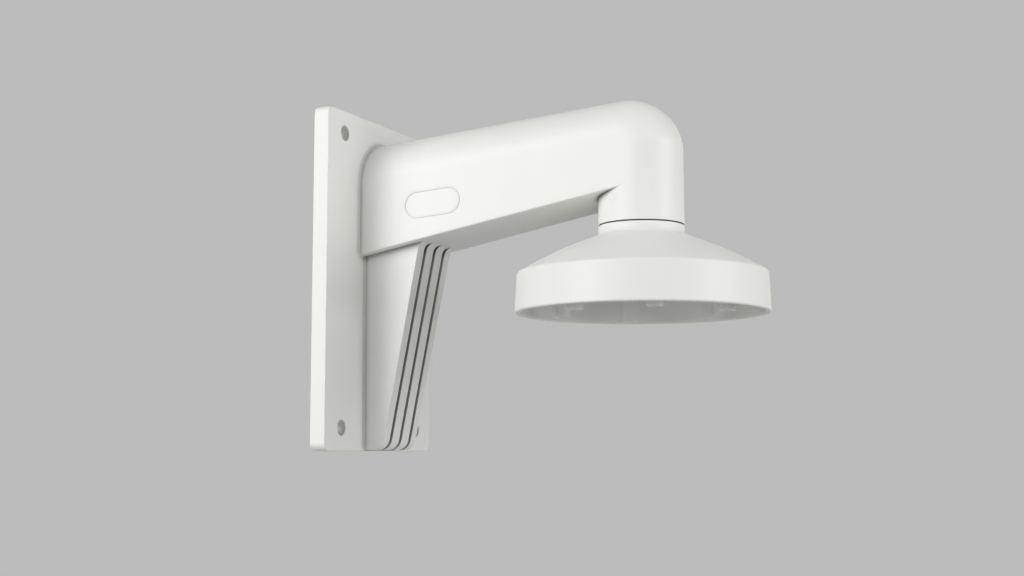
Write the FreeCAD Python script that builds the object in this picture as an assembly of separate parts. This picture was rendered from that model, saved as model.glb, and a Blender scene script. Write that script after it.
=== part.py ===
import FreeCAD, Part
import math
import os

# Wall bracket for a dome camera: a ribbed wall plate, a hollow cast arm that bends down into a round neck, a
# grooved strut below the arm, and a bell-shaped cap that carries the camera. Sizes are in millimetres.
#
# The wall is the plane y = 0 and the bracket reaches out from it along -Y. Z points up and x = 0 is the plane
# of symmetry. The origin is the middle of the plate's wall face. "Out" below is the distance from the wall.

# Wall plate: a shallow tray, open to the wall, with ribs inside
PLATE_WIDTH = 115.0
PLATE_HEIGHT = 183.0
PLATE_DEPTH = 8.8
PLATE_CORNER_R = 4.2
PLATE_EDGE_BEVEL = 0.4
ROOT_BEVEL = 0.8
PLATE_SKIN = 3.2
RIM_WALL = 3.2
RIB_WALL = 2.0
RIB_PITCH = 45.0
RIB_SETBACK = 0.5

# Holes for the wall screws, each in a full-depth pad in a corner of the tray
HOLE_INSET_X = 16.75
HOLE_INSET_Z = 12.25
HOLE_D = 8.4
HOLE_PAD = 8.5

# Arm: arch-shaped section that tapers from the wall to the neck, rising all the way
CAST_WALL = 3.2
ARM_ROOT_HALF = 25.15
ARM_ROOT_ARCH_Z = 52.8
ARM_ROOT_FLOOR_Z = 13.0
ARM_FLOOR_SLOPE = math.radians(10.2)
ARM_EDGE_R = 1.0

# Elbow and neck: the bend axis runs along X, and the neck stands on a vertical axis in front of the wall
REACH = 163.2
NECK_R = 22.3
BEND_R = 6.8
BEND_AXIS_Z = 61.5
JOINT_Z = 24.2
JOINT_GAP = 0.5
ELBOW_JOINTS = 6
DUCT_JOINTS = 3

# Strut under the arm, with upright grooves in its front
STRUT_HALF_TOP = 18.4
STRUT_HALF_FOOT = 17.5
STRUT_FOOT_STEP = 0.5
STRUT_FOOT_OUT = 20.5
STRUT_LEAN = math.radians(11.3)
STRUT_FOOT_R = 7.0
STRUT_CROTCH_R = 5.6
STRUT_EDGE_BEVEL = 0.5
GROOVE_COUNT = 3
GROOVE_PITCH = 10.5
GROOVE_WIDTH = 2.8
GROOVE_DEPTH = 5.0
CORE_CORNER_R = 3.0

# Screws that hold the cap to the neck, on a circle round the neck's axis
SCREW_COUNT = 3
SCREW_R = 2.0
SCREW_LENGTH = 16.0
SCREW_HEAD_R = 3.9
SCREW_HEAD_H = 2.6
SCREW_CLEARANCE = 0.25
THREAD_RUNOUT = 3.0
THREAD_FIT = 0.05
SCREW_BOSS_R = 3.9
SCREW_BOSS_SINK = 0.7

# Cap: collar, domed cone, flared skirt, all in one wall thickness
CAP_WALL = 3.0
CAP_CABLE_R = 11.0
COLLAR_H = 5.0
CONE_DROP = 19.7
CONE_BULGE = 1.5
CONE_STEPS = 3
TURN_FLATS = 48
FINE_ROUND_R = 1.2
COLLAR_FILLET_R = 1.8
SHOULDER_R = 64.7
SHOULDER_EDGE_R = 1.5
SKIRT_H = 20.5
RIM_R = 65.7
RIM_EDGE_R = 1.0
INNER_FILLET_R = 1.0

# Flat ring seal in a recess in the collar's top
SEAL_SETBACK = 1.1
SEAL_RECESS_DEPTH = 1.0
SEAL_SIDE_PLAY = 0.1

# Bosses inside the cap for the camera's screws
BOSS_R = 4.4
BOSS_CIRCLE_R = 45.0
BOSS_ANGLES = [math.radians(a) for a in (28.0, 90.0, 152.0, 208.0, 270.0, 332.0)]
BOSS_PROUD = 0.4
BOSS_HOLE_R = 2.0
BOSS_HOLE_DEPTH = 12.0

# Worked out from the sizes above
PLATE_BOTTOM_Z = -PLATE_HEIGHT / 2
HOLE_X = PLATE_WIDTH / 2 - HOLE_INSET_X
HOLE_Z = PLATE_HEIGHT / 2 - HOLE_INSET_Z
ARM_RUN = REACH - BEND_R
ARM_RISE = BEND_AXIS_Z - ARM_ROOT_ARCH_Z
AXIS_LENGTH = math.sqrt(ARM_RUN ** 2 + ARM_RISE ** 2 - BEND_R ** 2)
AXIS_SLOPE = math.atan2(ARM_RISE, ARM_RUN) + math.atan2(BEND_R, AXIS_LENGTH)
STRUT_FOOT_Z = PLATE_BOTTOM_Z + STRUT_FOOT_STEP
NECK_INNER_R = NECK_R - CAST_WALL
NECK_END_Z = JOINT_Z + JOINT_GAP / 2
CAP_TOP_Z = JOINT_Z - JOINT_GAP / 2
CONE_TOP_Z = CAP_TOP_Z - COLLAR_H
CONE_SLOPE = CONE_DROP / (SHOULDER_R - NECK_R)
CONE_WALL_Z = CAP_WALL * math.hypot(1, CONE_SLOPE)
SHOULDER_Z = CONE_TOP_Z - CONE_DROP
RIM_Z = SHOULDER_Z - SKIRT_H
SEAL_OUTER_R = NECK_R - SEAL_SETBACK
SEAL_INNER_R = NECK_INNER_R + SEAL_SIDE_PLAY
SEAL_BED_Z = CAP_TOP_Z - SEAL_RECESS_DEPTH
SCREW_CIRCLE_R = NECK_INNER_R + SCREW_BOSS_SINK - SCREW_BOSS_R
CEILING_R = SCREW_CIRCLE_R + SCREW_HEAD_R + SCREW_CLEARANCE
CEILING_Z = CONE_TOP_Z - CONE_WALL_Z - (CEILING_R - NECK_R) * CONE_SLOPE
SCREW_TIP_Z = CEILING_Z + SCREW_LENGTH
SCREW_ANGLES = [math.pi / 2 + i * 2 * math.pi / SCREW_COUNT for i in range(SCREW_COUNT)]
ACROSS = FreeCAD.Vector(1, 0, 0)
BEHIND_ALL = REACH / 2
ABOVE_ALL_Z = BEND_AXIS_Z + 2 * NECK_R
PAST = 1.0
TOUCH = 0.01


def point(x, out, z):
    """A point given by its distance out from the wall."""
    return FreeCAD.Vector(x, -out, z)


def cylinder(radius, x, out, z_low, z_high):
    return Part.makeCylinder(radius, z_high - z_low, point(x, out, z_low))


def block(x_low, x_high, out_low, out_high, z_low, z_high):
    return Part.makeBox(x_high - x_low, out_high - out_low, z_high - z_low, point(x_low, out_high, z_low))


def fuse_all(shapes):
    return shapes[0].multiFuse(shapes[1:]) if len(shapes) > 1 else shapes[0]


def rounded_wire(corners):
    """A closed wire through corners, each a point and its radius, with an arc tangent to both sides."""
    count = len(corners)
    entries, exits, middles = [], [], []
    for i, (here, radius) in enumerate(corners):
        back = (corners[i - 1][0] - here).normalize()
        ahead = (corners[(i + 1) % count][0] - here).normalize()
        if radius == 0:
            entries.append(here)
            exits.append(here)
            middles.append(None)
            continue
        half = back.getAngle(ahead) / 2
        reach = radius / math.tan(half)
        inward = (back + ahead).normalize()
        entries.append(here + back * reach)
        exits.append(here + ahead * reach)
        middles.append(here + inward * (radius / math.sin(half) - radius))
    edges = []
    for i in range(count):
        if middles[i]:
            edges.append(Part.Arc(entries[i], middles[i], exits[i]).toShape())
        edges.append(Part.LineSegment(exits[i], entries[(i + 1) % count]).toShape())
    return Part.Wire(edges)


def side_prism(corners, half_width):
    """A prism along X from a side-view outline, each corner given as out, z and radius."""
    outline = [(point(-half_width, out, z), radius) for out, z, radius in corners]
    return Part.Face(rounded_wire(outline)).extrude(FreeCAD.Vector(2 * half_width, 0, 0))


# Arm

def floor_z(out):
    """Height of the arm's underside."""
    return ARM_ROOT_FLOOR_Z + out * math.tan(ARM_FLOOR_SLOPE)


def tilted(out, z):
    """A direction or an offset in the plane of symmetry, given along the arm's axis and square to it."""
    return point(0, out * math.cos(AXIS_SLOPE) - z * math.sin(AXIS_SLOPE),
                 out * math.sin(AXIS_SLOPE) + z * math.cos(AXIS_SLOPE))


def arm_lower_body(inset, start, end, start_half, end_half):
    """The arm below the line of arch centres: tapered sides, a flat underside and rounded lower edges."""
    lift = inset / math.cos(ARM_FLOOR_SLOPE)
    plan = [start - ACROSS * start_half, start + ACROSS * start_half,
            end + ACROSS * end_half, end - ACROSS * end_half]
    sides = Part.Face(Part.makePolygon(plan + plan[:1])).extrude(tilted(0, -BEND_AXIS_Z))
    above_floor = side_prism([
        (-BEHIND_ALL, floor_z(-BEHIND_ALL) + lift, 0),
        (REACH, floor_z(REACH) + lift, 0),
        (REACH, ABOVE_ALL_Z, 0),
        (-BEHIND_ALL, ABOVE_ALL_Z, 0),
    ], 2 * ARM_ROOT_HALF)

    drop = BEND_AXIS_Z - floor_z(REACH - BEND_R) - lift
    drop /= math.cos(AXIS_SLOPE) + math.sin(AXIS_SLOPE) * math.tan(ARM_FLOOR_SLOPE)
    foot = end + tilted(0, -BEND_R - drop)
    web = side_prism([
        (REACH - BEND_R, BEND_AXIS_Z, 0),
        (-foot.y, foot.z, 0),
        (REACH, floor_z(REACH) + lift, 0),
        (REACH, BEND_AXIS_Z, 0),
    ], end_half)

    body = sides.common(above_floor).fuse(web)
    lower_edges = []
    for edge in body.Edges:
        box = edge.BoundBox
        near_end_on_floor = abs(box.ZMin - lift - floor_z(-box.YMax)) < TOUCH
        far_end_on_floor = abs(box.ZMax - lift - floor_z(-box.YMin)) < TOUCH
        if near_end_on_floor and far_end_on_floor and box.YLength > ARM_EDGE_R:
            lower_edges.append(edge)
    return body.makeFillet(ARM_EDGE_R if inset == 0 else CORE_CORNER_R, lower_edges)


def elbow(bend, half, joints):
    """The bend from the arm to the neck: short straight lengths of arched section, mitred at the joints."""
    turn = 90 + math.degrees(AXIS_SLOPE)
    step = turn / joints
    side = BEND_R + half
    left = bend - ACROSS * half
    right = bend + ACROSS * half
    top = tilted(0, BEND_R)
    arch = Part.Wire([
        Part.LineSegment(left, right).toShape(),
        Part.LineSegment(right, right + top).toShape(),
        Part.Arc(right + top, bend + tilted(0, side), left + top).toShape(),
        Part.LineSegment(left + top, left).toShape(),
    ])
    lengths = []
    for i in range(joints + 1):
        low = max(0, (i - 0.5) * step)
        high = min(turn, (i + 0.5) * step)
        length = Part.Face(arch).extrude(tilted(2 * side, 0))
        length.translate(tilted(-side, 0))
        length.rotate(bend, ACROSS, i * step)
        wedge_start = bend - ACROSS * side
        wedge_width = math.tan(math.radians(high - low)) * 2 * side
        wedge = Part.makePolygon([wedge_start, wedge_start + tilted(0, 2 * side),
                                  wedge_start + tilted(wedge_width, 2 * side), wedge_start])
        wedge = Part.Face(wedge).extrude(ACROSS * (2 * side))
        wedge.rotate(bend, ACROSS, low)
        lengths.append(length.common(wedge))
    return fuse_all(lengths)


def arm_solid(inset, root_half, joints):
    """The arm from the wall to the end of the neck, with its surface moved in by inset."""
    bend = point(0, REACH - BEND_R, BEND_AXIS_Z)
    half = NECK_R - inset
    back = ARM_ROOT_ARCH_Z * math.sin(AXIS_SLOPE) + PAST
    start = point(0, 0, ARM_ROOT_ARCH_Z) - tilted(back, 0)
    start_half = root_half + (root_half - half) * back / AXIS_LENGTH
    end = bend + tilted(0, BEND_R)
    length = AXIS_LENGTH + back
    if start_half > half:
        crown = Part.makeCone(start_half, half, length, start, tilted(1, 0))
    else:
        crown = Part.makeCylinder(half, length, start, tilted(1, 0))
    lower = arm_lower_body(inset, start, end, start_half, half)
    neck = cylinder(half, 0, REACH, NECK_END_Z, BEND_AXIS_Z)
    return fuse_all([crown, lower, elbow(bend, half, joints), neck])


def duct():
    """The cable duct through arm and neck. It keeps the neck's width, so the walls grow towards the root."""
    return arm_solid(CAST_WALL, NECK_INNER_R, DUCT_JOINTS)


# Strut

def front_meets_arm(front_inset):
    """How far out the strut's front line, moved in by front_inset, meets the arm's underside."""
    lean = math.tan(STRUT_LEAN)
    foot_out = STRUT_FOOT_OUT - front_inset / math.cos(STRUT_LEAN)
    at_arm_root = foot_out + lean * (ARM_ROOT_FLOOR_Z - STRUT_FOOT_Z)
    return at_arm_root / (1 - lean * math.tan(ARM_FLOOR_SLOPE))


def strut_prism(front_inset, half_width):
    """The strut's side profile, with its front moved in. Its top is buried in the arm."""
    foot_out = STRUT_FOOT_OUT - front_inset / math.cos(STRUT_LEAN)
    top_out = front_meets_arm(front_inset)
    end_out = front_meets_arm(0) + 2 * STRUT_CROTCH_R
    bury = 2 * CAST_WALL
    return side_prism([
        (0, STRUT_FOOT_Z, 0),
        (foot_out, STRUT_FOOT_Z, STRUT_FOOT_R - front_inset),
        (top_out, floor_z(top_out), STRUT_CROTCH_R + front_inset),
        (end_out, floor_z(end_out), 0),
        (end_out, floor_z(end_out) + bury, 0),
        (0, floor_z(0) + bury, 0),
    ], half_width)


def strut_width_prism(inset, z_low, z_high):
    """The strut's front view: a little narrower at the foot."""
    run = ARM_ROOT_FLOOR_Z - STRUT_FOOT_Z

    def half_at(z):
        share = (z - STRUT_FOOT_Z) / run
        return STRUT_HALF_FOOT + (STRUT_HALF_TOP - STRUT_HALF_FOOT) * share - inset

    outline = [point(-half_at(z_low), -PAST, z_low), point(half_at(z_low), -PAST, z_low),
               point(half_at(z_high), -PAST, z_high), point(-half_at(z_high), -PAST, z_high)]
    face = Part.Face(Part.makePolygon(outline + outline[:1]))
    return face.extrude(point(0, REACH, 0))


def strut_solid():
    body = strut_prism(0, ARM_ROOT_HALF).common(strut_width_prism(0, STRUT_FOOT_Z, BEND_AXIS_Z))
    front = [edge for edge in body.Edges
             if edge.BoundBox.ZLength > PLATE_HEIGHT / 4 and edge.BoundBox.YLength > STRUT_FOOT_R]
    return body.makeChamfer(STRUT_EDGE_BEVEL, front)


def groove_cutters():
    cut_zone = strut_prism(0, ARM_ROOT_HALF).cut(strut_prism(GROOVE_DEPTH, ARM_ROOT_HALF + PAST))
    cutters = []
    for i in range(GROOVE_COUNT):
        x = (i - (GROOVE_COUNT - 1) / 2) * GROOVE_PITCH
        slab = block(x - GROOVE_WIDTH / 2, x + GROOVE_WIDTH / 2, 0, REACH, STRUT_FOOT_Z - PAST, BEND_AXIS_Z)
        cutters.append(cut_zone.common(slab))
    return cutters


def strut_core():
    """The hollow of the strut, open to the wall."""
    wall = GROOVE_DEPTH + CAST_WALL
    low_z = STRUT_FOOT_Z + CAST_WALL
    low_out = STRUT_FOOT_OUT + math.tan(STRUT_LEAN) * CAST_WALL - wall / math.cos(STRUT_LEAN)
    top_out = front_meets_arm(wall)
    profile = side_prism([
        (-PAST, low_z, 0),
        (low_out, low_z, CORE_CORNER_R),
        (top_out, floor_z(top_out), CORE_CORNER_R),
        (-PAST, floor_z(-PAST), 0),
    ], ARM_ROOT_HALF)
    return profile.common(strut_width_prism(CAST_WALL, STRUT_FOOT_Z, BEND_AXIS_Z))


# Plate

def plate_solid():
    body = block(-PLATE_WIDTH / 2, PLATE_WIDTH / 2, 0, PLATE_DEPTH, PLATE_BOTTOM_Z, -PLATE_BOTTOM_Z)
    corners = [edge for edge in body.Edges if edge.BoundBox.YLength > PLATE_DEPTH / 2]
    body = body.makeFillet(PLATE_CORNER_R, corners)
    front = [edge for edge in body.Edges if edge.BoundBox.YMax < TOUCH - PLATE_DEPTH]
    return body.makeChamfer(PLATE_EDGE_BEVEL, front)


def hole_places():
    return [(sx * HOLE_X, sz * HOLE_Z) for sx in (-1, 1) for sz in (-1, 1)]


def along_y(radius, x, z, out_low, out_high):
    """A cylinder square to the wall."""
    return Part.makeCylinder(radius, out_high - out_low, point(x, out_low, z), point(0, 1, 0))


def tray_cutter(solid_parts):
    """What is cut from the plate's back: the tray, less its ribs, its pads and the parts that cross it."""
    depth = PLATE_DEPTH - PLATE_SKIN
    half_w = PLATE_WIDTH / 2 - RIM_WALL
    half_h = PLATE_HEIGHT / 2 - RIM_WALL
    tray = block(-half_w, half_w, -PAST, depth, -half_h, half_h)
    ribs = []
    count = int(half_h // RIB_PITCH)
    for i in range(-count, count + 1):
        z = i * RIB_PITCH
        ribs.append(block(-half_w, half_w, RIB_SETBACK, depth, z - RIB_WALL / 2, z + RIB_WALL / 2))
    pads = []
    for side in (-1, 1):
        x_low, x_high = sorted((side * half_w, side * (HOLE_X - HOLE_PAD)))
        for end in (-1, 1):
            z_low, z_high = sorted((end * half_h, end * (HOLE_Z - HOLE_PAD)))
            pads.append(block(x_low, x_high, 0, depth, z_low, z_high))
    return tray.cut(fuse_all(ribs + pads + solid_parts))


# Bracket

def on_neck_circle(circle_r, angle):
    return circle_r * math.cos(angle), REACH - circle_r * math.sin(angle)


def root_bevelled(body):
    """Fills the corner where the arm and the strut leave the plate, all but the strut's foot."""
    roots = []
    for edge in body.Edges:
        box = edge.BoundBox
        on_plate = abs(box.YMin + PLATE_DEPTH) < TOUCH and abs(box.YMax + PLATE_DEPTH) < TOUCH
        if on_plate and box.ZMax > STRUT_FOOT_Z + TOUCH and max(-box.XMin, box.XMax) < PLATE_WIDTH / 4:
            roots.append(edge)
    return body.makeChamfer(ROOT_BEVEL, roots)


def wall_bracket():
    in_front = block(-PLATE_WIDTH, PLATE_WIDTH, 0, 2 * REACH, PLATE_BOTTOM_Z, PLATE_HEIGHT)
    arm = arm_solid(0, ARM_ROOT_HALF, ELBOW_JOINTS).common(in_front)
    strut = strut_solid()
    body = root_bevelled(fuse_all([plate_solid(), arm, strut]).removeSplitter())
    body = body.cut(tray_cutter([arm, strut]))
    body = body.cut(fuse_all([duct(), strut_core()] + groove_cutters()))
    bosses = []
    threads = []
    for angle in SCREW_ANGLES:
        x, out = on_neck_circle(SCREW_CIRCLE_R, angle)
        bosses.append(cylinder(SCREW_BOSS_R, x, out, NECK_END_Z, SCREW_TIP_Z + 2 * THREAD_RUNOUT))
        threads.append(cylinder(SCREW_R, x, out, NECK_END_Z - PAST, SCREW_TIP_Z + THREAD_RUNOUT))
    holes = [along_y(HOLE_D / 2, x, z, -PAST, PLATE_DEPTH + PAST) for x, z in hole_places()]
    return body.multiFuse(bosses).cut(fuse_all(threads + holes)).removeSplitter()


# Cap

def rounded_line(corners):
    """Points along a section line. Each corner is its radius from the axis, its height and its rounding.
    A fine rounding is drawn as one flat, and a larger one as two."""
    line = []
    for i, (r, z, rounding) in enumerate(corners):
        here = FreeCAD.Vector(r, z, 0)
        if rounding == 0:
            line.append(here)
            continue
        back = (FreeCAD.Vector(*corners[i - 1][:2]) - here).normalize()
        ahead = (FreeCAD.Vector(*corners[i + 1][:2]) - here).normalize()
        half = back.getAngle(ahead) / 2
        centre = here + (back + ahead).normalize() * (rounding / math.sin(half))
        spoke = here + back * (rounding / math.tan(half)) - centre
        turn = (math.pi - 2 * half) * (1 if back.cross(ahead).z > 0 else -1)
        steps = 1 if rounding < FINE_ROUND_R else 2
        for step in range(steps + 1):
            a = turn * step / steps
            line.append(centre + FreeCAD.Vector(spoke.x * math.cos(a) + spoke.y * math.sin(a),
                                                spoke.y * math.cos(a) - spoke.x * math.sin(a)))
    return line


def turned(corners):
    """A ring about the neck's axis from corners as in rounded_line. Its round faces are narrow flats."""
    line = rounded_line(corners)
    step = 2 * math.pi / TURN_FLATS
    flats = []
    for i, here in enumerate(line):
        ahead = line[(i + 1) % len(line)]
        for k in range(TURN_FLATS):
            low, high = k * step, (k + 1) * step
            quad = [point(at.x * math.cos(a), REACH - at.x * math.sin(a), at.y)
                    for at, a in ((here, low), (here, high), (ahead, high), (ahead, low))]
            flats.append(Part.Face(Part.makePolygon(quad + quad[:1])))
    shell = Part.makeShell(flats)
    shell.sewShape()
    return Part.Solid(shell).removeSplitter()


def cone_line(depth, start_r, start_rounding, shoulder_rounding):
    """Corners of the domed cone and the shoulder, at a depth below the cap's outer surface."""
    drop = depth * math.hypot(1, CONE_SLOPE)
    start_z = CONE_TOP_Z - drop - (start_r - NECK_R) * CONE_SLOPE
    end_r = SHOULDER_R - depth
    end_z = SHOULDER_Z - drop + depth * CONE_SLOPE
    line = [(start_r, start_z, start_rounding)]
    for step in range(1, CONE_STEPS):
        share = step / CONE_STEPS
        bulge = 4 * CONE_BULGE * share * (1 - share)
        line.append((start_r + (end_r - start_r) * share, start_z + (end_z - start_z) * share + bulge, 0))
    return line + [(end_r, end_z, shoulder_rounding)]


def cap_shell():
    recess_r = SEAL_OUTER_R + SEAL_SIDE_PLAY
    outside = cone_line(0, NECK_R, COLLAR_FILLET_R, SHOULDER_EDGE_R)
    inside = cone_line(CAP_WALL, CEILING_R, 0, INNER_FILLET_R)
    return turned([
        (CAP_CABLE_R, CEILING_Z, 0),
        (CAP_CABLE_R, SEAL_BED_Z, 0),
        (recess_r, SEAL_BED_Z, 0),
        (recess_r, CAP_TOP_Z, 0),
        (NECK_R, CAP_TOP_Z, 0),
        *outside,
        (RIM_R, RIM_Z, RIM_EDGE_R),
        (RIM_R - CAP_WALL, RIM_Z, RIM_EDGE_R),
        *reversed(inside),
    ])


def camera_cap():
    half_wall = CAP_WALL / 2
    boss_end_z = RIM_Z - BOSS_PROUD
    within = turned([*cone_line(half_wall, CEILING_R, 0, 0), (RIM_R - half_wall, boss_end_z, 0),
                     (CEILING_R, boss_end_z, 0)])
    bosses = []
    holes = []
    for angle in SCREW_ANGLES:
        x, out = on_neck_circle(SCREW_CIRCLE_R, angle)
        holes.append(cylinder(SCREW_R + SCREW_CLEARANCE, x, out, CEILING_Z - PAST, CAP_TOP_Z + PAST))
    for angle in BOSS_ANGLES:
        x, out = on_neck_circle(BOSS_CIRCLE_R, angle)
        bosses.append(cylinder(BOSS_R, x, out, boss_end_z, CAP_TOP_Z).common(within))
        holes.append(cylinder(BOSS_HOLE_R, x, out, boss_end_z - PAST, boss_end_z + BOSS_HOLE_DEPTH))
    return cap_shell().multiFuse(bosses).cut(fuse_all(holes)).removeSplitter()


# Joint

def neck_seal():
    return turned([(SEAL_INNER_R, SEAL_BED_Z, 0), (SEAL_INNER_R, NECK_END_Z, 0),
                   (SEAL_OUTER_R, NECK_END_Z, 0), (SEAL_OUTER_R, SEAL_BED_Z, 0)])


def cap_screws():
    """Cylinder-head screws. Each has its head below the cap's ceiling and its tip in a neck boss."""
    screws = []
    for angle in SCREW_ANGLES:
        x, out = on_neck_circle(SCREW_CIRCLE_R, angle)
        head = cylinder(SCREW_HEAD_R, x, out, CEILING_Z - SCREW_HEAD_H, CEILING_Z)
        shank = cylinder(SCREW_R - THREAD_FIT, x, out, CEILING_Z, SCREW_TIP_Z)
        screws.append(head.fuse(shank))
    return Part.makeCompound(screws)


PIECES = {
    "wall_bracket": wall_bracket,
    "camera_cap": camera_cap,
    "neck_seal": neck_seal,
    "cap_screws": cap_screws,
}


def main():
    os.makedirs("parts", exist_ok=True)
    for name, make in PIECES.items():
        shape = make()
        shape.exportStep(f"parts/{name}.step")
        print(name, "solids:", len(shape.Solids), "volume:", round(shape.Volume), "cubic mm")


main()
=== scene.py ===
import math

import bmesh
import bpy
from mathutils import Matrix, Vector


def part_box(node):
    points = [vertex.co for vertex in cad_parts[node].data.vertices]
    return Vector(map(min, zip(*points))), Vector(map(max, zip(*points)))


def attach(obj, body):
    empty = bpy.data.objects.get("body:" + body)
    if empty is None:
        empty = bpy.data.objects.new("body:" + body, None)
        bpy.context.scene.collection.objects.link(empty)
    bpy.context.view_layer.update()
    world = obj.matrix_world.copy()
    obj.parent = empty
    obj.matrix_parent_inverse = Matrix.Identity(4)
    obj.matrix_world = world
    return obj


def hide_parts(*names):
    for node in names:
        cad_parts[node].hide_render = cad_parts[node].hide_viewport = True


# Looks of a cast wall bracket for a dome camera. All sizes are in metres, in the CAD model's frame: the wall
# is the plane y = 0, the bracket reaches out along -Y, Z points up and x = 0 is the plane of symmetry.

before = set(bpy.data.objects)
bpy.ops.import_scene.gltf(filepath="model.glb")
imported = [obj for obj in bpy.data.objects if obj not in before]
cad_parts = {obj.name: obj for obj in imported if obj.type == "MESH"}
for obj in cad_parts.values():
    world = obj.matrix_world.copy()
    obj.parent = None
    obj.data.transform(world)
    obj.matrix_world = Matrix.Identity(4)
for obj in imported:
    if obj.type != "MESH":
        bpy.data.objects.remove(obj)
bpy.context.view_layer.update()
MM = 0.001

# The photograph's view, solved from its perspective
CAMERA_PLACE = Vector((-0.7208, -0.4248, -0.0926))
CAMERA_AZIMUTH = -65.04
CAMERA_ELEVATION = -6.317
CAMERA_LENS = 52.43
CAMERA_SENSOR = 36.0
CAMERA_NEAR = 0.01
CAMERA_FAR = 100.0

# Studio
FLOOR_Z = -0.75
BACKDROP_REACH = 12.0
FLOOR_COLOUR = 0.62
FLOOR_ROUGHNESS = 0.9
FLOOR_GLOW_SHARE = 0.75
FAR_FLOOR = 0.102
BACKGROUND = 0.50
AMBIENT = 0.10
LAMP_SIZE = 1.2
LAMP_DISTANCE = 1.9

# Lamps: name, azimuth and elevation in degrees, and power in watts
LAMPS = (
    ("key", -105, 30, 19.0),
    ("side", -121, 9, 14.0),
    ("front", 0, 10, 20.6),
    ("far", 35, 20, 1.7),
)

# Powder coat: its colour varies a little over the casting, and painted shade darkens it in grooves and
# creases
COAT_LOW = (0.842, 0.85, 0.815)
COAT_HIGH = (0.868, 0.876, 0.842)
COAT_PEEL = 0.9 * MM
COAT_GRAIN = 0.22 * MM
COAT_SWELL = 18 * MM
COAT_PEEL_SHARE = 0.75
COAT_DEPTH = 0.05 * MM
COAT_ROUGHNESS = 0.40
# Painted shade: how far ambient occlusion looks, how strongly it darkens the coat, the dark grey it darkens
# towards, and its rays
PAINTED_SHADE_REACH = 4.0 * MM
PAINTED_SHADE_GAIN = 3.0
PAINTED_SHADE_COLOUR = (0.10, 0.10, 0.095)
PAINTED_SHADE_RAYS = 8

# Rubber and steel
RUBBER_LOW = (0.018, 0.018, 0.018)
RUBBER_HIGH = (0.04, 0.04, 0.038)
RUBBER_GRAIN = 0.3 * MM
RUBBER_DEPTH = 0.04 * MM
RUBBER_ROUGHNESS = 0.6
STEEL_LOW = (0.55, 0.54, 0.52)
STEEL_HIGH = (0.67, 0.66, 0.64)
STEEL_GRAIN = 0.15 * MM
STEEL_TINT = 2.5 * MM
STEEL_DEPTH = 0.02 * MM
STEEL_ROUGHNESS = 0.24

# Arm and elbow: the elbow's skin is a half circle turned about an axis along X
seal_low, seal_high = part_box("neck_seal")
NECK_Y = (seal_low.y + seal_high.y) / 2
NECK_R = 22.3 * MM
BEND_R = 6.8 * MM
BEND_Y = NECK_Y + BEND_R
BEND_Z = 61.5 * MM
BEND_START = math.radians(-6)
BEND_END = math.radians(90.5)
BEND_FIT = 0.6 * MM
BEND_CUTS = 3
ARM_ROOT_HALF = 25.15 * MM
PLATE_FRONT_Y = -8.7 * MM
NECK_END_Z = 24.6 * MM
JOINT_R = 21.5 * MM

# Edges of the castings: a line of sharp edges is rounded by as much of EDGE_ROUND as EDGE_SHARE of the room
# beside it allows, and left sharp below EDGE_LEAST
EDGE_ROUND = 0.5 * MM
EDGE_SHARE = 0.38
EDGE_LEAST = 0.12
EDGE_RUN_TURN = math.radians(35)
EDGE_STEPS = 3
SHARP_ANGLE = math.radians(50)

# Meshes
MERGE = 2e-6
FLAT_ANGLE = math.radians(0.4)
SMOOTH_ANGLE = math.radians(24)
CORNER_STEPS = 5
BROAD_FACE_WEIGHT = 60

# Cap: radii from the neck's axis, and heights
CAP_WALL = 3.0 * MM
CAP_CABLE_R = 11.0 * MM
COLLAR_TOP_Z = 23.95 * MM
COLLAR_EDGE_R = 0.5 * MM
CONE_TOP_Z = 18.95 * MM
CONE_FILLET_R = 1.8 * MM
CONE_DROP = 19.7 * MM
CONE_BULGE = 1.5 * MM
CONE_STEPS = 12
CEILING_R = 20.05 * MM
SHOULDER_R = 64.7 * MM
SHOULDER_EDGE_R = 1.5 * MM
SKIRT_H = 20.5 * MM
RIM_R = 65.7 * MM
RIM_EDGE_R = 1.0 * MM
INNER_FILLET_R = 2.0 * MM
SEAL_PLAY = 0.1 * MM
TURN_STEPS = 192
CONE_SLOPE = CONE_DROP / (SHOULDER_R - NECK_R)
RIM_Z = CONE_TOP_Z - CONE_DROP - SKIRT_H

# Bosses inside the cap, on a circle round the neck's axis
BOSS_R = 4.4 * MM
BOSS_CIRCLE_R = 45.0 * MM
BOSS_ANGLES = [math.radians(angle) for angle in (28.0, 90.0, 152.0, 208.0, 270.0, 332.0)]
BOSS_END_Z = RIM_Z - 0.4 * MM
BOSS_EDGE_R = 0.5 * MM
BOSS_FILLET_R = 2.5 * MM
BOSS_FLARE = 4.5 * MM
BOSS_SINK = 0.8 * MM
BOSS_HOLE_DEPTH = 12.0 * MM
BOSS_STEPS = 48
DRILL_POINT = 1.2 * MM

# Threads: the ridge's foot and crest as shares of the pitch, and how far it stays from the ends of its wall
THREAD_R = 2.0 * MM
THREAD_PITCH = 0.7 * MM
THREAD_DEPTH = 0.38 * MM
THREAD_SINK = 0.1 * MM
THREAD_CREST = (0.42, 0.54)
THREAD_FOOT = 0.96
THREAD_STEPS = 24
THREAD_LESS = 1.0 * MM
BOSS_THREAD_START = 0.6 * MM
SCREW_THREAD_START = 0.5 * MM

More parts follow.
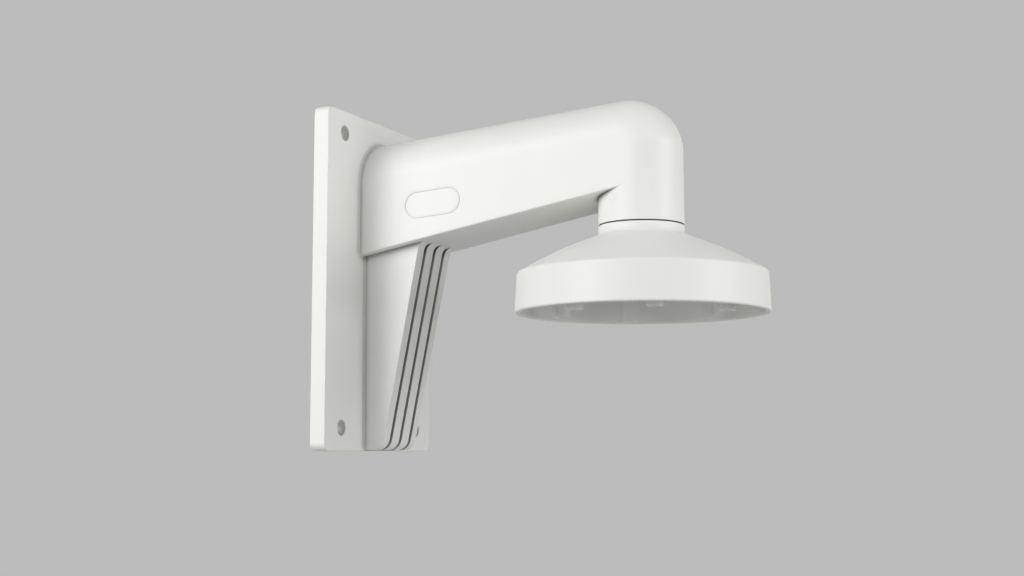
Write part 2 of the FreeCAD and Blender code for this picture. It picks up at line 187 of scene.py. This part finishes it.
# Screws that hold the cap to the neck
SCREW_CIRCLE_R = 15.9 * MM
SCREW_ANGLES = [math.radians(angle) for angle in (90.0, 210.0, 330.0)]
SCREW_HOLE_R = 2.25 * MM
SCREW_SHANK_R = 1.95 * MM
SCREW_HEAD_R = 3.9 * MM
SCREW_HEAD_H = 2.6 * MM
SCREW_LENGTH = 16.0 * MM
SCREW_TIP_R = 0.3 * MM
SCREW_SEAT_R = 0.2 * MM
SCREW_EDGE_R = 0.45 * MM
SOCKET_MOUTH_R = 2.0 * MM
SOCKET_CHAMFER = 0.3 * MM
SOCKET_HALF = 1.25 * MM
SOCKET_DEPTH = 1.5 * MM
SOCKET_SIDE = math.radians(60)

# Seal
SEAL_WIDTH = 2.0 * MM
SEAL_EDGE_R = 0.25 * MM

# Raised outline on the arm's side
BADGE_Y = -53.2 * MM
BADGE_Z = 40.8 * MM
BADGE_LENGTH = 33.0 * MM
BADGE_HEIGHT = 14.5 * MM
BADGE_TILT = math.radians(4.3)
BADGE_LINE = 0.55 * MM
BADGE_PROUD = 0.3 * MM
BADGE_SINK = 0.2 * MM
BADGE_EDGE = 0.12 * MM
BADGE_EDGE_STEPS = 2
BADGE_STEPS = 96


# Shader values

class Value:
    """A number that changes over a surface. Arithmetic on it adds Math nodes to its finish."""

    def __init__(self, finish, socket):
        self.finish = finish
        self.socket = socket

    def math(self, operation, first, second):
        return self.finish.node("ShaderNodeMath", {"operation": operation}, {0: first, 1: second})

    def __add__(self, other):
        return self.math("ADD", self, other)

    def __radd__(self, other):
        return self.math("ADD", other, self)

    def __sub__(self, other):
        return self.math("SUBTRACT", self, other)

    def __rsub__(self, other):
        return self.math("SUBTRACT", other, self)

    def __mul__(self, other):
        return self.math("MULTIPLY", self, other)

    def __rmul__(self, other):
        return self.math("MULTIPLY", other, self)


class Finish:
    """A material whose nodes are added by type, with a Principled BSDF at its end."""

    def __init__(self, name):
        self.material = bpy.data.materials.new(name)
        self.material.use_nodes = True
        self.tree = self.material.node_tree
        self.shader = self.tree.nodes["Principled BSDF"]
        self.place = self.node("ShaderNodeTexCoord", {}, {}, "Object")

    def node(self, kind, settings, sockets, output=0):
        """Adds a node with its settings, then its sockets' values or links, and gives one output."""
        made = self.tree.nodes.new(kind)
        for name, value in settings.items():
            setattr(made, name, value)
        for name, value in sockets.items():
            if isinstance(value, Value):
                self.tree.links.new(value.socket, made.inputs[name])
            else:
                made.inputs[name].default_value = value
        return Value(self, made.outputs[output])

    def noise(self, size, detail):
        """Noise from 0 to 1 whose lumps are about size across."""
        sockets = {"Vector": self.place, "Scale": 1 / size, "Detail": detail}
        return self.node("ShaderNodeTexNoise", {}, sockets, "Fac")

    def crevice(self, reach):
        """0 on an open face, 0.5 in a corner and more in a narrow gap, for gaps up to reach."""
        settings = {"samples": PAINTED_SHADE_RAYS}
        return 1 - self.node("ShaderNodeAmbientOcclusion", settings, {"Distance": reach}, "AO")

    def blend(self, share, low, high):
        """A colour between two others."""
        low, high = (colour if isinstance(colour, Value) else (*colour, 1.0) for colour in (low, high))
        return self.node("ShaderNodeMix", {"data_type": "RGBA"}, {"Factor": share, 6: low, 7: high}, 2)

    def bump(self, height, depth, strength):
        return self.node("ShaderNodeBump", {}, {"Height": height, "Distance": depth, "Strength": strength})

    def surface(self, **sockets):
        """Sets the shader's sockets, named with underscores for spaces."""
        for name, value in sockets.items():
            socket = self.shader.inputs[name.replace("_", " ")]
            if isinstance(value, Value):
                self.tree.links.new(value.socket, socket)
            else:
                socket.default_value = value
        return self.material


# Finishes

def powder_coat():
    """Warm white satin powder coat: a fine orange peel over the casting's faint unevenness, with shade
    painted into its colour in grooves and creases.
    """
    finish = Finish("powder_coat_white")
    peel = finish.noise(COAT_PEEL, detail=2.0)
    grain = finish.noise(COAT_GRAIN, detail=1.0)
    swell = finish.noise(COAT_SWELL, detail=1.0)
    # Painted shade: ambient occlusion blends the coat's colour towards dark grey in grooves and creases
    painted_shade = finish.crevice(PAINTED_SHADE_REACH)
    height = peel * COAT_PEEL_SHARE + grain * (1 - COAT_PEEL_SHARE)
    open_face = finish.blend(swell, COAT_LOW, COAT_HIGH)
    return finish.surface(
        Base_Color=finish.blend(painted_shade * painted_shade * PAINTED_SHADE_GAIN, open_face, PAINTED_SHADE_COLOUR),
        Roughness=COAT_ROUGHNESS + peel * 0.10 + swell * 0.04,
        Normal=finish.bump(height, COAT_DEPTH, strength=0.35),
        Coat_Weight=0.08,
        Coat_Roughness=0.3,
    )


def seal_rubber():
    """Matt black rubber."""
    finish = Finish("seal_rubber_black")
    grain = finish.noise(RUBBER_GRAIN, detail=3.0)
    return finish.surface(
        Base_Color=finish.blend(grain, RUBBER_LOW, RUBBER_HIGH),
        Roughness=RUBBER_ROUGHNESS + grain * 0.2,
        Normal=finish.bump(grain, RUBBER_DEPTH, strength=0.5),
    )


def screw_steel():
    """Stainless steel, satin, with a faint change of tone."""
    finish = Finish("screw_stainless_steel")
    grain = finish.noise(STEEL_GRAIN, detail=3.0)
    tint = finish.noise(STEEL_TINT, detail=2.0)
    return finish.surface(
        Base_Color=finish.blend(tint, STEEL_LOW, STEEL_HIGH),
        Metallic=1.0,
        Roughness=STEEL_ROUGHNESS + grain * 0.14,
        Normal=finish.bump(grain, STEEL_DEPTH, strength=0.4),
    )


# Making pieces

def piece_from(made, name, material, slot, *replaced, crease=SMOOTH_ANGLE):
    """Turns a bmesh into a piece that rides on the bracket and stands for its CAD nodes."""
    for edge in made.edges:
        edge.smooth = not edge.is_manifold or edge.calc_face_angle(0) < crease
    mesh = bpy.data.meshes.new(name)
    made.to_mesh(mesh)
    made.free()
    mesh.materials.append(material)
    for face in mesh.polygons:
        face.use_smooth = True
    piece = bpy.data.objects.new(name, mesh)
    bpy.context.scene.collection.objects.link(piece)
    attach(piece, "root")
    if replaced:
        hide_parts(*replaced)
    return piece


def flat_shaded(piece):
    """Lets a piece's broad faces keep their own normals, so that only its roundings are shaded round."""
    modifier = piece.modifiers.new("broad_faces", "WEIGHTED_NORMAL")
    modifier.keep_sharp = True
    modifier.weight = BROAD_FACE_WEIGHT


def profile(made, corners, closed):
    """A wire in the plane y = 0. A corner gives its distance from the axis, its height and its rounding."""
    spots = [made.verts.new((r, 0, z)) for r, z, rounding in corners]
    count = len(corners)
    for i in range(count if closed else count - 1):
        made.edges.new((spots[i], spots[(i + 1) % count]))
    for i, (r, z, rounding) in enumerate(corners):
        if rounding:
            here = Vector((r, z))
            back = here - Vector(corners[i - 1][:2])
            ahead = Vector(corners[(i + 1) % count][:2]) - here
            reach = rounding * math.tan(back.angle(ahead) / 2)
            bmesh.ops.bevel(made, geom=[spots[i]], offset=reach, offset_type="OFFSET", segments=CORNER_STEPS,
                            profile=0.5, affect="VERTICES", clamp_overlap=False, material=-1)


def turned(corners, steps, closed):
    """A body of revolution about the Z axis."""
    made = bmesh.new()
    profile(made, corners, closed)
    bmesh.ops.spin(made, geom=made.verts[:] + made.edges[:], cent=(0, 0, 0), axis=(0, 0, 1),
                   angle=2 * math.pi, steps=steps, use_merge=True)
    bmesh.ops.remove_doubles(made, verts=made.verts[:], dist=MERGE)
    bmesh.ops.recalc_face_normals(made, faces=made.faces[:])
    return made


def joined(parts):
    """One bmesh of several."""
    made = bmesh.new()
    for part in parts:
        mesh = bpy.data.meshes.new("part")
        part.to_mesh(mesh)
        part.free()
        made.from_mesh(mesh)
        bpy.data.meshes.remove(mesh)
    return made


def on_neck_circle(circle_r, angle):
    """A place on a circle round the neck's axis, at z = 0."""
    return Vector((circle_r * math.cos(angle), NECK_Y + circle_r * math.sin(angle), 0))


def cut_by(made, cutter, operation):
    """A bmesh after a boolean with another one."""
    objects = []
    for part in (made, cutter):
        mesh = bpy.data.meshes.new("part")
        part.to_mesh(mesh)
        part.free()
        objects.append(bpy.data.objects.new("part", mesh))
        bpy.context.scene.collection.objects.link(objects[-1])
    body, tool = objects
    modifier = body.modifiers.new("cut", "BOOLEAN")
    modifier.operation = operation
    modifier.solver = "MANIFOLD"
    modifier.object = tool
    result = bmesh.new()
    result.from_object(body, bpy.context.evaluated_depsgraph_get())
    for part in objects:
        mesh = part.data
        bpy.data.objects.remove(part)
        bpy.data.meshes.remove(mesh)
    return result


# Bracket

def merged_copy(node):
    """A CAD node's mesh as a bmesh, merged, with its flat faces joined."""
    made = bmesh.new()
    made.from_mesh(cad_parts[node].data)
    bmesh.ops.remove_doubles(made, verts=made.verts[:], dist=MERGE)
    bmesh.ops.dissolve_limit(made, angle_limit=FLAT_ANGLE, verts=made.verts[:], edges=made.edges[:])
    return made


def bend_place(spot):
    """A point's angle about the elbow's axis, from straight up towards the neck, and its distance from it."""
    out, rise = BEND_Y - spot.y, spot.z - BEND_Z
    return math.atan2(out, rise), math.hypot(out, rise)


def skin_radius(x):
    """The elbow's skin, as a distance from its axis."""
    return BEND_R + math.sqrt(max(0.0, NECK_R ** 2 - x ** 2))


def on_elbow_skin(spot):
    """Whether a point lies on the elbow's outer skin."""
    angle, distance = bend_place(spot)
    near = BEND_START < angle < BEND_END and abs(spot.x) < NECK_R + MERGE
    return near and abs(distance - skin_radius(spot.x)) < BEND_FIT


def round_elbow(made):
    """Turns the elbow's straight lengths into one smooth bend."""
    along = []
    for edge in made.edges:
        first, second = edge.verts[0].co, edge.verts[1].co
        if abs(first.x - second.x) < MERGE and on_elbow_skin(first) and on_elbow_skin(second):
            along.append(edge)
    bmesh.ops.subdivide_edges(made, edges=along, cuts=BEND_CUTS, use_grid_fill=True)
    for vert in made.verts:
        if on_elbow_skin(vert.co):
            angle = bend_place(vert.co)[0]
            distance = skin_radius(vert.co.x)
            vert.co.y = BEND_Y - distance * math.sin(angle)
            vert.co.z = BEND_Z + distance * math.cos(angle)
    made.normal_update()


def width_beside(loop):
    """How far a face reaches inwards from the middle of one of its edges."""
    start, end = loop.vert.co, loop.link_loop_next.vert.co
    middle, along = (start + end) / 2, (end - start).normalized()
    inward = loop.face.normal.cross(along)
    widths = []
    for other in loop.face.loops:
        if other == loop:
            continue
        near = other.vert.co - middle
        far = other.link_loop_next.vert.co - middle
        near_u, far_u = near.dot(along), far.dot(along)
        if near_u * far_u <= 0 and near_u != far_u:
            share = near_u / (near_u - far_u)
            width = near.dot(inward) * (1 - share) + far.dot(inward) * share
            if width > MERGE:
                widths.append(width)
    return min(widths, default=EDGE_ROUND)


def run_of(edge, sharp):
    """The line of sharp edges that an edge is part of."""
    run = {edge}
    fresh = [edge]
    while fresh:
        known = fresh.pop()
        for vert in known.verts:
            along = known.other_vert(vert).co - vert.co
            for other in vert.link_edges:
                if other in sharp and other not in run:
                    if along.angle(vert.co - other.other_vert(vert).co, 0) < EDGE_RUN_TURN:
                        run.add(other)
                        fresh.append(other)
    return run


def seen_in_front(run):
    """Whether a line reaches the plate's front face or further out, and isn't inside the neck's joint."""
    spots = [vert.co for edge in run for vert in edge.verts]
    inside = any(spot.z < NECK_END_Z and math.hypot(spot.x, spot.y - NECK_Y) < JOINT_R for spot in spots)
    return min(spot.y for spot in spots) < PLATE_FRONT_Y and not inside


def weigh_edges(made):
    """Gives each line of sharp edges its share of the full rounding, by the room beside it."""
    weight = made.edges.layers.float.new("bevel_weight_edge")
    sharp = {edge for edge in made.edges if edge.is_manifold and edge.calc_face_angle(0) > SHARP_ANGLE}
    left = set(sharp)
    while left:
        run = run_of(left.pop(), sharp)
        left -= run
        room = EDGE_SHARE * min(width_beside(loop) for edge in run for loop in edge.link_loops)
        share = min(1.0, room / EDGE_ROUND)
        if share > EDGE_LEAST and seen_in_front(run):
            for edge in run:
                edge[weight] = share


def bracket_casting(material):
    """The bracket with its CAD form, a smooth elbow, and edges a little rounded where they show in front."""
    made = merged_copy("wall_bracket")
    round_elbow(made)
    weigh_edges(made)
    piece = piece_from(made, "bracket_casting", material, "powder_coat", "wall_bracket", crease=SHARP_ANGLE)
    modifier = piece.modifiers.new("edges", "BEVEL")
    modifier.limit_method = "WEIGHT"
    modifier.width = EDGE_ROUND
    modifier.segments = EDGE_STEPS
    modifier.use_clamp_overlap = False
    flat_shaded(piece)


def badge_outline(material):
    """A thin raised line, round-ended, on the arm's side towards -X."""
    made = bmesh.new()
    bmesh.ops.create_circle(made, cap_ends=True, segments=BADGE_STEPS, radius=BADGE_HEIGHT / 2)
    for vert in made.verts:
        if abs(vert.co.x) > MERGE:
            vert.co.x += math.copysign((BADGE_LENGTH - BADGE_HEIGHT) / 2, vert.co.x)
    line = bmesh.ops.inset_region(made, faces=made.faces[:], thickness=BADGE_LINE, use_even_offset=True,
                                  use_boundary=True)["faces"]
    bmesh.ops.delete(made, geom=[face for face in made.faces if face not in line], context="FACES")
    rise = bmesh.ops.extrude_face_region(made, geom=made.faces[:], use_keep_orig=True)
    bmesh.ops.translate(made, vec=(0, 0, BADGE_PROUD + BADGE_SINK),
                        verts=[item for item in rise["geom"] if isinstance(item, bmesh.types.BMVert)])
    bmesh.ops.recalc_face_normals(made, faces=made.faces[:])
    bmesh.ops.bevel(made, geom=[edge for edge in made.edges if edge.calc_face_angle(0) > SMOOTH_ANGLE],
                    offset=BADGE_EDGE, offset_type="OFFSET", segments=BADGE_EDGE_STEPS, profile=0.5,
                    affect="EDGES", clamp_overlap=True, material=-1)

    taper = (ARM_ROOT_HALF - NECK_R) / -BEND_Y
    half = ARM_ROOT_HALF + taper * BADGE_Y
    out = Vector((-1, -taper, 0)).normalized()
    along = Vector((taper, -math.cos(BADGE_TILT), math.sin(BADGE_TILT))).normalized()
    up = out.cross(along)
    turn = Matrix((along, up, out)).transposed().to_4x4()
    made.transform(Matrix.Translation(Vector((-half, BADGE_Y, BADGE_Z)) - out * BADGE_SINK) @ turn)
    piece_from(made, "badge_outline", material, "powder_coat")


# Cap

def dome_z(depth, start_r, r):
    """Height of the domed cone at a radius, at a depth below the cap's outer surface."""
    drop = depth * math.hypot(1, CONE_SLOPE)
    start_z = CONE_TOP_Z - drop - (start_r - NECK_R) * CONE_SLOPE
    end_z = CONE_TOP_Z - CONE_DROP - drop + depth * CONE_SLOPE
    share = (r - start_r) / (SHOULDER_R - depth - start_r)
    return start_z + (end_z - start_z) * share + 4 * CONE_BULGE * share * (1 - share)


def dome_line(depth, start_r, start_rounding, end_rounding):
    """The domed cone's corners from the collar out to the shoulder."""
    end_r = SHOULDER_R - depth
    line = []
    for step in range(CONE_STEPS + 1):
        r = start_r + (end_r - start_r) * step / CONE_STEPS
        rounding = {0: start_rounding, CONE_STEPS: end_rounding}.get(step, 0)
        line.append((r, dome_z(depth, start_r, r), rounding))
    return line


def cap_boss():
    """A boss on the Z axis, with a tapped hole. Its foot flares into the cap's ceiling."""
    top_z = dome_z(CAP_WALL, CEILING_R, BOSS_CIRCLE_R)
    hole_z = BOSS_END_Z + BOSS_HOLE_DEPTH
    return turned([
        (0, hole_z + DRILL_POINT, 0),
        (THREAD_R, hole_z, 0),
        (THREAD_R, BOSS_END_Z, BOSS_EDGE_R),
        (BOSS_R, BOSS_END_Z, BOSS_EDGE_R),
        (BOSS_R, top_z, BOSS_FILLET_R),
        (BOSS_R + BOSS_FLARE, top_z + BOSS_SINK, 0),
        (0, top_z + BOSS_SINK, 0),
    ], BOSS_STEPS, False)


def cap_casting(material):
    """The cap, turned in one piece with its bosses."""
    recess_r = seal_high.x + SEAL_PLAY
    outside = dome_line(0, NECK_R, CONE_FILLET_R, SHOULDER_EDGE_R)
    inside = dome_line(CAP_WALL, CEILING_R, 0, INNER_FILLET_R)
    shell = turned([
        (CAP_CABLE_R, dome_z(CAP_WALL, CEILING_R, CEILING_R), COLLAR_EDGE_R),
        (CAP_CABLE_R, seal_low.z, COLLAR_EDGE_R),
        (recess_r, seal_low.z, 0),
        (recess_r, COLLAR_TOP_Z, 0),
        (NECK_R, COLLAR_TOP_Z, COLLAR_EDGE_R),
        *outside,
        (RIM_R, RIM_Z, RIM_EDGE_R),
        (RIM_R - CAP_WALL, RIM_Z, RIM_EDGE_R),
        *reversed(inside),
    ], TURN_STEPS, True)
    shell.transform(Matrix.Translation((0, NECK_Y, 0)))

    middle_z = dome_z(CAP_WALL, CEILING_R, BOSS_CIRCLE_R)
    bosses = []
    for angle in BOSS_ANGLES:
        boss = cap_boss()
        boss.transform(Matrix.Translation(on_neck_circle(BOSS_CIRCLE_R, angle)))
        for vert in boss.verts:
            if vert.co.z > middle_z - BOSS_FILLET_R - MERGE:
                r = math.hypot(vert.co.x, vert.co.y - NECK_Y)
                vert.co.z += dome_z(CAP_WALL, CEILING_R, r) - middle_z
        bosses.append(boss)
    made = cut_by(shell, joined(bosses), "UNION")

    drills = []
    for angle in SCREW_ANGLES:
        drill = bmesh.new()
        bmesh.ops.create_cone(drill, cap_ends=True, segments=BOSS_STEPS, radius1=SCREW_HOLE_R,
                              radius2=SCREW_HOLE_R, depth=2 * SCREW_LENGTH)
        place = on_neck_circle(SCREW_CIRCLE_R, angle) + Vector((0, 0, seal_low.z))
        drill.transform(Matrix.Translation(place))
        drills.append(drill)
    made = cut_by(made, joined(drills), "DIFFERENCE")
    flat_shaded(piece_from(made, "cap_casting", material, "powder_coat", "camera_cap"))


# Joint

def thread(radius, depth, pitch, length):
    """A thread's ridge about the Z axis, from z = 0 up. It stands out from radius by depth, inwards if depth
    is negative, and its foot is sunk in the wall that carries it."""
    made = bmesh.new()
    foot_r = radius - math.copysign(THREAD_SINK, depth)
    crest_r = radius + depth
    crest_start, crest_end = THREAD_CREST
    section = ((foot_r, 0), (crest_r, crest_start), (crest_r, crest_end), (foot_r, THREAD_FOOT))
    made.faces.new([made.verts.new((r, 0, share * pitch)) for r, share in section])
    turns = int(length / pitch) - 1
    bmesh.ops.spin(made, geom=made.faces[:], cent=(0, 0, 0), axis=(0, 0, 1), angle=2 * math.pi * turns,
                   dvec=(0, 0, pitch / THREAD_STEPS), steps=THREAD_STEPS * turns, use_merge=False)
    bmesh.ops.recalc_face_normals(made, faces=made.faces[:])
    return made


def cap_screw():
    """A socket-head screw on the Z axis. The underside of its head is at z = 0 and its tip points up."""
    body = turned([
        (0, SCREW_LENGTH, 0),
        (SCREW_SHANK_R - THREAD_DEPTH, SCREW_LENGTH, SCREW_TIP_R),
        (SCREW_SHANK_R - THREAD_DEPTH, 0, 0),
        (SCREW_HEAD_R, 0, SCREW_SEAT_R),
        (SCREW_HEAD_R, -SCREW_HEAD_H, SCREW_EDGE_R),
        (SOCKET_MOUTH_R, -SCREW_HEAD_H, 0),
    ], BOSS_STEPS, False)
    rim = [edge for edge in body.edges if edge.is_boundary]
    mouth = bmesh.ops.contextual_create(body, geom=rim)["faces"]
    bmesh.ops.inset_region(body, faces=mouth, thickness=SOCKET_CHAMFER)
    for vert in mouth[0].verts:
        angle = math.atan2(vert.co.y, vert.co.x) % SOCKET_SIDE - SOCKET_SIDE / 2
        reach = SOCKET_HALF / math.cos(angle) / math.hypot(vert.co.x, vert.co.y)
        vert.co.x *= reach
        vert.co.y *= reach
    floor = bmesh.ops.extrude_face_region(body, geom=mouth)["geom"]
    bmesh.ops.translate(body, vec=(0, 0, SOCKET_DEPTH),
                        verts=[item for item in floor if isinstance(item, bmesh.types.BMVert)])
    bmesh.ops.delete(body, geom=mouth, context="FACES_ONLY")
    bmesh.ops.recalc_face_normals(body, faces=body.faces[:])
    ridge = thread(SCREW_SHANK_R - THREAD_DEPTH, THREAD_DEPTH, THREAD_PITCH, SCREW_LENGTH - THREAD_LESS)
    ridge.transform(Matrix.Translation((0, 0, SCREW_THREAD_START)))
    return joined([body, ridge])


def cap_screws(material):
    """The screws that hold the cap, their heads in the cap and their tips in the neck."""
    head_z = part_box("cap_screws")[0].z + SCREW_HEAD_H
    screws = []
    for angle in SCREW_ANGLES:
        screw = cap_screw()
        place = on_neck_circle(SCREW_CIRCLE_R, angle) + Vector((0, 0, head_z))
        screw.transform(Matrix.Translation(place) @ Matrix.Rotation(angle, 4, "Z"))
        screws.append(screw)
    piece_from(joined(screws), "socket_screws", material, "screw_steel", "cap_screws")


def boss_threads(material):
    """The tapped threads in the bosses' holes."""
    ridges = []
    for angle in BOSS_ANGLES:
        ridge = thread(THREAD_R, -THREAD_DEPTH, THREAD_PITCH, BOSS_HOLE_DEPTH - THREAD_LESS)
        start = on_neck_circle(BOSS_CIRCLE_R, angle) + Vector((0, 0, BOSS_END_Z + BOSS_THREAD_START))
        ridge.transform(Matrix.Translation(start))
        ridges.append(ridge)
    piece_from(joined(ridges), "boss_threads", material, "powder_coat")


def ring_seal(material):
    """The flat rubber ring in the joint."""
    inner_r = seal_high.x - SEAL_WIDTH
    made = turned([
        (inner_r, seal_low.z, SEAL_EDGE_R),
        (inner_r, seal_high.z, SEAL_EDGE_R),
        (seal_high.x, seal_high.z, SEAL_EDGE_R),
        (seal_high.x, seal_low.z, SEAL_EDGE_R),
    ], TURN_STEPS // 2, True)
    made.transform(Matrix.Translation((0, NECK_Y, 0)))
    piece_from(made, "ring_seal", material, "seal_rubber", "neck_seal")


# Studio

def stage_camera():
    """The camera at the photograph's place."""
    data = bpy.data.cameras.new("camera")
    data.sensor_width = CAMERA_SENSOR
    data.lens = CAMERA_LENS
    data.clip_start = CAMERA_NEAR
    data.clip_end = CAMERA_FAR
    camera = bpy.data.objects.new("camera", data)
    camera.location = CAMERA_PLACE
    camera.rotation_mode = "QUATERNION"
    camera.rotation_quaternion = toward(CAMERA_AZIMUTH, CAMERA_ELEVATION).to_track_quat("Z", "Y")
    bpy.context.scene.collection.objects.link(camera)
    bpy.context.scene.camera = camera


def seen_directly(finish):
    """1 for what the camera, a reflection or a clear material sees, and 0 for what lights a matt surface."""
    camera = finish.node("ShaderNodeLightPath", {}, {}, "Is Camera Ray")
    glossy = finish.node("ShaderNodeLightPath", {}, {}, "Is Glossy Ray")
    clear = finish.node("ShaderNodeLightPath", {}, {}, "Is Transmission Ray")
    return camera + glossy + clear


def stage_floor():
    """A pale floor that shows the object's shadow and, far away, the background's own brightness."""
    made = bmesh.new()
    bmesh.ops.create_grid(made, x_segments=1, y_segments=1, size=BACKDROP_REACH)
    bmesh.ops.translate(made, verts=made.verts[:], vec=(0, 0, FLOOR_Z))
    mesh = bpy.data.meshes.new("floor")
    made.to_mesh(mesh)
    made.free()
    finish = Finish("floor_matt")
    finish.surface(Base_Color=(FLOOR_COLOUR, FLOOR_COLOUR, FLOOR_COLOUR, 1.0), Roughness=FLOOR_ROUGHNESS)
    glow = (BACKGROUND - (1 - FLOOR_GLOW_SHARE) * FAR_FLOOR) / FLOOR_GLOW_SHARE
    shine = finish.node("ShaderNodeEmission", {}, {"Strength": glow})
    matt = Value(finish, finish.shader.outputs[0])
    share = seen_directly(finish) * FLOOR_GLOW_SHARE
    shown = finish.node("ShaderNodeMixShader", {}, {0: share, 1: matt, 2: shine})
    finish.tree.links.new(shown.socket, finish.tree.nodes["Material Output"].inputs["Surface"])
    mesh.materials.append(finish.material)
    floor = bpy.data.objects.new("floor", mesh)
    bpy.context.scene.collection.objects.link(floor)


class Sky(Finish):
    """The world's nodes, with a Background at their end."""

    def __init__(self, world):
        self.material = world
        world.use_nodes = True
        self.tree = world.node_tree
        self.shader = self.tree.nodes["Background"]


def stage_world():
    """A dim, even world that looks as bright as the backdrop wherever it is seen."""
    world = bpy.data.worlds.new("studio")
    bpy.context.scene.world = world
    sky = Sky(world)
    strength = AMBIENT + seen_directly(sky) * (BACKGROUND - AMBIENT)
    sky.surface(Color=(1.0, 1.0, 1.0, 1.0), Strength=strength)


def toward(azimuth, elevation):
    """The direction towards an azimuth, counted from -Y towards +X, and an elevation, both in degrees."""
    turn, rise = math.radians(azimuth), math.radians(elevation)
    return Vector((math.sin(turn) * math.cos(rise), -math.cos(turn) * math.cos(rise), math.sin(rise)))


def soft_light(name, azimuth, elevation, power):
    """A square lamp that faces the bracket."""
    data = bpy.data.lights.new(name, "AREA")
    data.size = LAMP_SIZE
    data.energy = power
    lamp = bpy.data.objects.new(name, data)
    lamp.location = toward(azimuth, elevation) * LAMP_DISTANCE
    lamp.rotation_mode = "QUATERNION"
    lamp.rotation_quaternion = lamp.location.to_track_quat("Z", "Y")
    bpy.context.scene.collection.objects.link(lamp)


bpy.context.scene.view_settings.view_transform = "Standard"
stage_camera()
stage_floor()
stage_world()
for lamp in LAMPS:
    soft_light(*lamp)

coat = powder_coat()
steel = screw_steel()
bracket_casting(coat)
badge_outline(coat)
cap_casting(coat)
boss_threads(coat)
ring_seal(seal_rubber())
cap_screws(steel)
